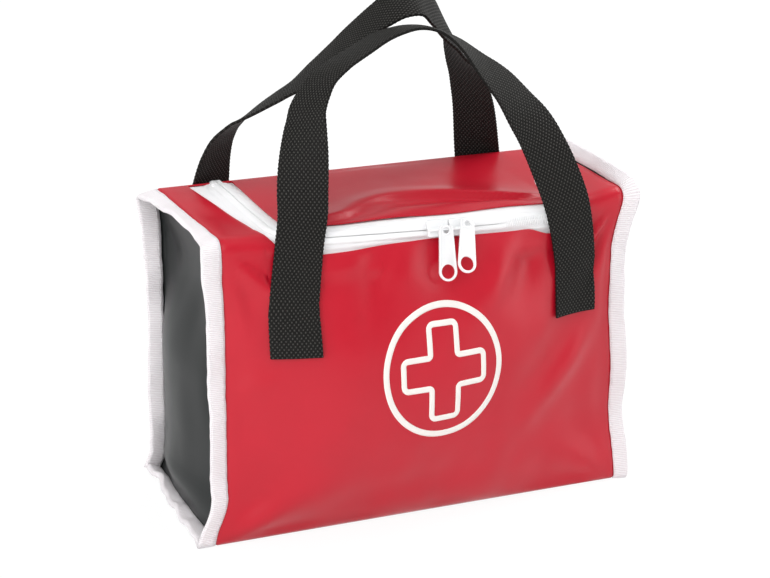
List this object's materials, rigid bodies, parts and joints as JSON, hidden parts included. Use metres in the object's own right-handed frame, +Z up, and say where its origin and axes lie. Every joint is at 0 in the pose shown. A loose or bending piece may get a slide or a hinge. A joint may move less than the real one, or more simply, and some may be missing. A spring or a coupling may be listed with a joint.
{
  "type": "toy doctor case",
  "caption": "Soft toy doctor case: bulging red fabric bag with bound side seams, a zipped lid round three sides of the top, sliders with pulls and webbing carry handles.",
  "frame": {"origin": "centre of the case's footprint, on the surface that it stands on", "axes": "+Z up, +Y from the printed front towards the back, +X towards the viewer's right when looking at the front"},
  "size_m": [0.244, 0.1432, 0.2584],
  "materials": {
    "red_fabric": "coated cloth, semi-gloss",
    "dark_fabric": "coated cloth, semi-gloss",
    "white_binding": "ribbed tape, matt",
    "zip_tape": "woven tape, matt",
    "zip_coil": "moulded coil, satin",
    "slider_metal": "white enamel, satin",
    "pull_plastic": "moulded, satin",
    "black_webbing": "woven webbing, matt",
    "white_print": "printed film, satin"
  },
  "bodies": {
    "bag": {"front_panel": "red_fabric", "back_panel": "red_fabric", "bottom_panel": "red_fabric", "left_top_strip": "red_fabric", "right_top_strip": "red_fabric", "left_side_panel": "dark_fabric", "right_side_panel": "dark_fabric", "left_binding_front": "white_binding", "left_binding_top": "white_binding", "left_binding_back": "white_binding", "left_binding_bottom": "white_binding", "right_binding_front": "white_binding", "right_binding_top": "white_binding", "right_binding_back": "white_binding", "right_binding_bottom": "white_binding", "zip_tape_bag": "zip_tape", "zip_coil_bag": "zip_coil", "left_zip_stop": "zip_coil", "right_zip_stop": "zip_coil", "front_handle_end_left": "black_webbing", "front_handle_end_right": "black_webbing", "back_handle_end_left": "black_webbing", "back_handle_end_right": "black_webbing", "print_ring": "white_print", "print_cross": "white_print"},
    "lid": {"lid_panel": "red_fabric", "zip_tape_lid": "zip_tape", "zip_coil_lid": "zip_coil"},
    "front_handle": {"front_handle": "black_webbing"},
    "back_handle": {"back_handle": "black_webbing"},
    "left_slider": {"left_slider": "slider_metal"},
    "right_slider": {"right_slider": "slider_metal"},
    "left_pull": {"left_pull": "pull_plastic"},
    "right_pull": {"right_pull": "pull_plastic"}
  },
  "joints": [
    {"name": "lid_hinge", "type": "hinge", "parent": "bag", "child": "lid", "pos_m": [0, 0.041, 0.16], "axis": [-1, 0, 0], "range_deg": [0, 105]},
    {"name": "front_handle_hinge", "type": "hinge", "parent": "bag", "child": "front_handle", "pos_m": [0, -0.0594, 0.124], "axis": [1, 0, 0], "range_deg": [0, 126]},
    {"name": "back_handle_hinge", "type": "hinge", "parent": "bag", "child": "back_handle", "pos_m": [0, 0.0594, 0.124], "axis": [-1, 0, 0], "range_deg": [0, 126]},
    {"name": "left_slider_slide", "type": "slide", "parent": "bag", "child": "left_slider", "axis": [-0.9999, 0.0114, 0], "range_m": [0, 0.048]},
    {"name": "right_slider_slide", "type": "slide", "parent": "bag", "child": "right_slider", "axis": [0.9999, 0.0146, 0], "range_m": [0, 0.031]},
    {"name": "left_pull_swing", "type": "hinge", "parent": "left_slider", "child": "left_pull", "pos_m": [0.00295, -0.05316, 0.15744], "axis": [-0.9999, 0.0114, 0], "range_deg": [0, 150]},
    {"name": "right_pull_swing", "type": "hinge", "parent": "right_slider", "child": "right_pull", "pos_m": [0.01506, -0.05313, 0.15741], "axis": [-0.9999, -0.0146, 0], "range_deg": [0, 150]}
  ],
  "couplings": [
    {"joint": "front_handle_hinge", "follows": "lid_hinge", "ratio": 1.2},
    {"joint": "back_handle_hinge", "follows": "lid_hinge", "ratio": 1.2}
  ]
}
